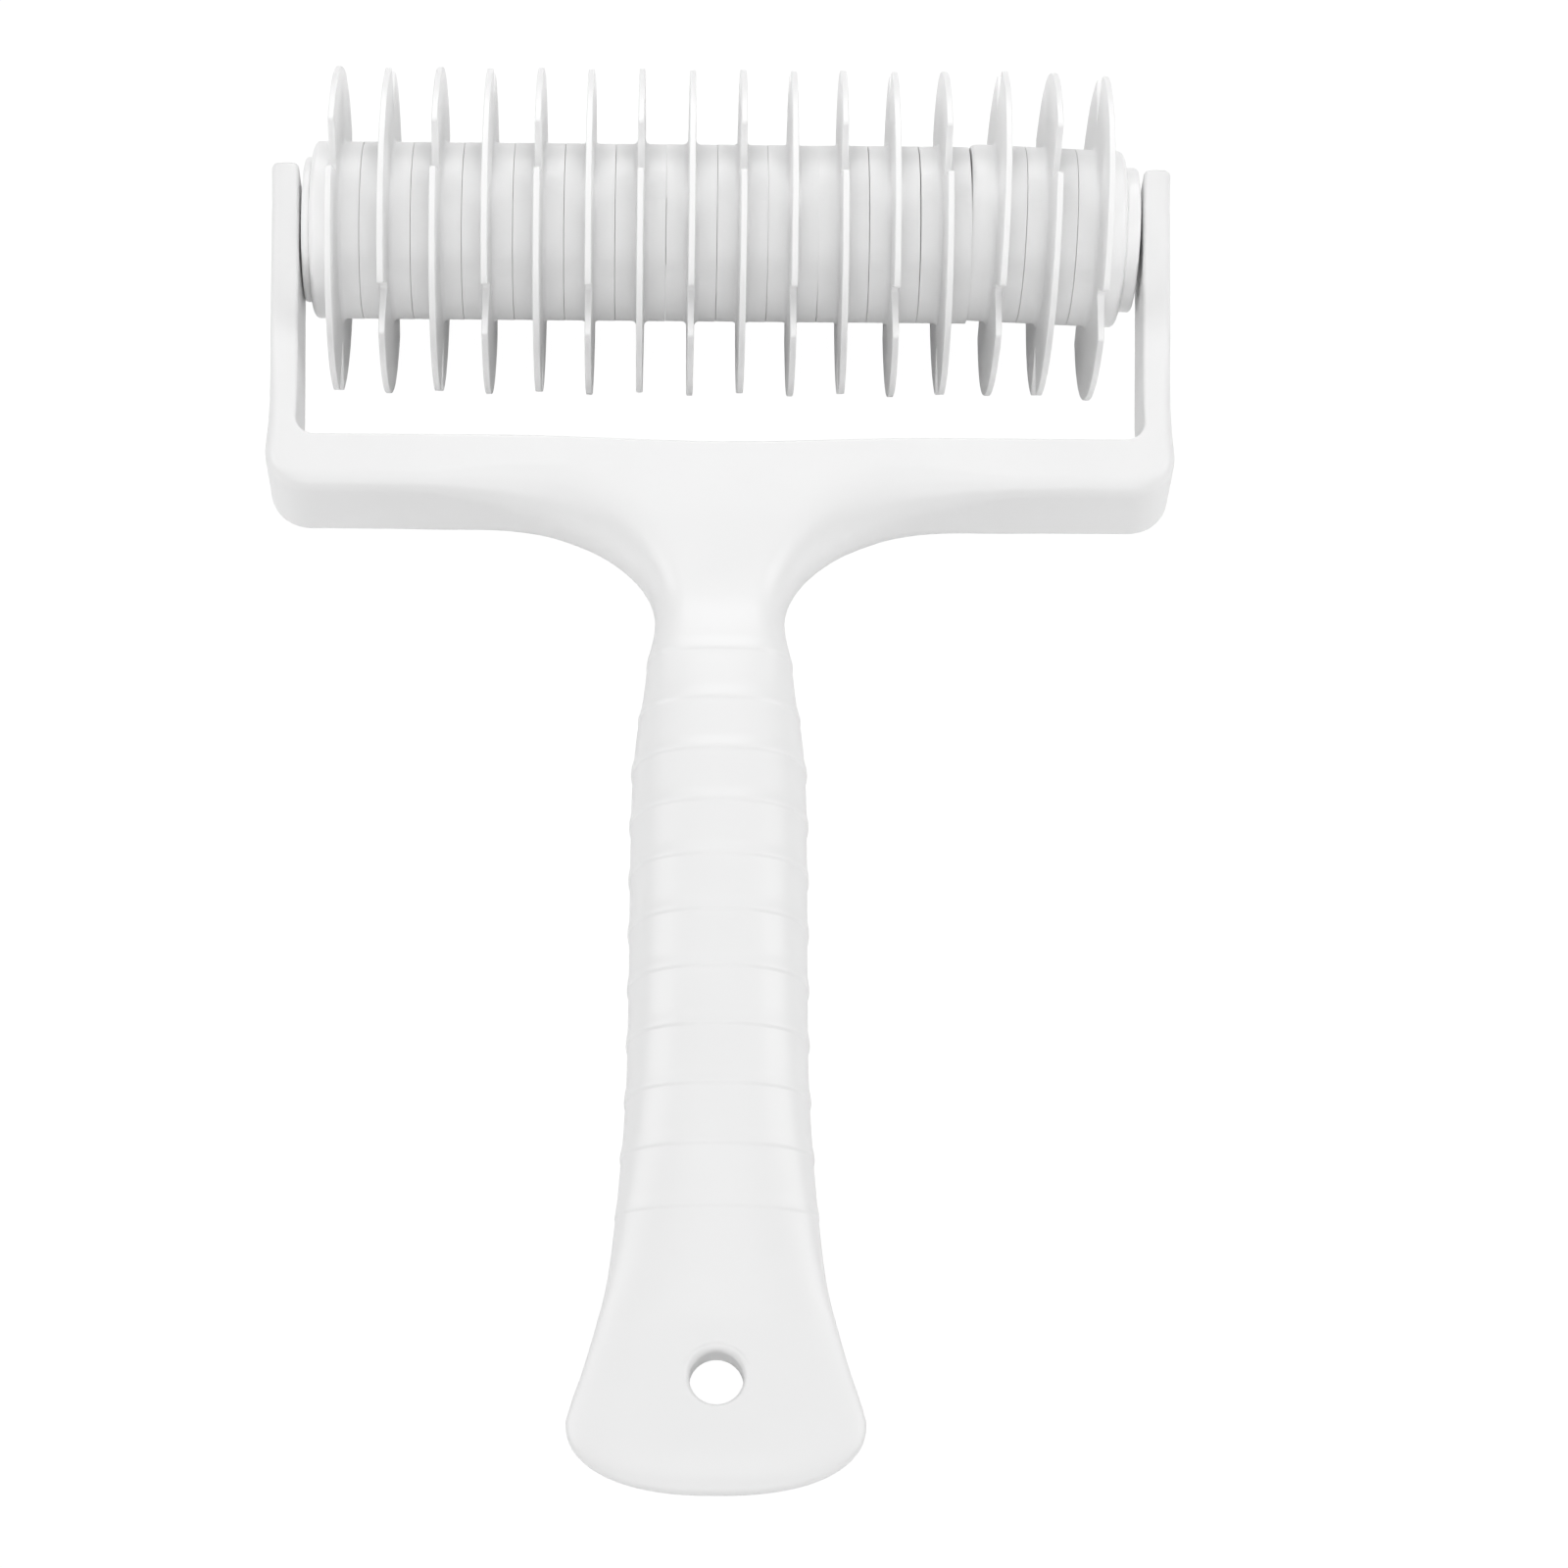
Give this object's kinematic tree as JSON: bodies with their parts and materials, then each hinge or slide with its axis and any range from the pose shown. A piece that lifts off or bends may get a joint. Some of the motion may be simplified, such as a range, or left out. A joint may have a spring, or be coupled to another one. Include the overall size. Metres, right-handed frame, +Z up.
{
  "type": "lattice dough cutter",
  "caption": "White plastic hand roller with a row of notched cutting wheels in a forked frame, a ribbed handle and a hanging hole. It cuts slits in rolled dough.",
  "frame": {"origin": "centre of the footprint, on the table that the tool rests on", "axes": "+Y from the handle's end towards the roller, +X along the roller axis to the right as seen from above with the roller at the top, +Z up from the table"},
  "size_m": [0.1244, 0.2032, 0.045],
  "materials": {
    "frame_plastic": "satin",
    "wheel_plastic": "satin",
    "axle_plastic": "satin",
    "collar_plastic": "satin"
  },
  "bodies": {
    "frame": {"frame_handle": "frame_plastic"},
    "roller": {"wheel_01": "wheel_plastic", "wheel_02": "wheel_plastic", "wheel_03": "wheel_plastic", "wheel_04": "wheel_plastic", "wheel_05": "wheel_plastic", "wheel_06": "wheel_plastic", "wheel_07": "wheel_plastic", "wheel_08": "wheel_plastic", "wheel_09": "wheel_plastic", "wheel_10": "wheel_plastic", "wheel_11": "wheel_plastic", "wheel_12": "wheel_plastic", "wheel_13": "wheel_plastic", "wheel_14": "wheel_plastic", "wheel_15": "wheel_plastic", "wheel_16": "wheel_plastic", "axle": "axle_plastic", "left_end_collar": "collar_plastic", "right_end_collar": "collar_plastic"}
  },
  "joints": [
    {"name": "roller_spin", "type": "hinge", "parent": "frame", "child": "roller", "pos_m": [0, 0.07906, 0.02249], "axis": [1, 0, 0], "continuous": true}
  ]
}
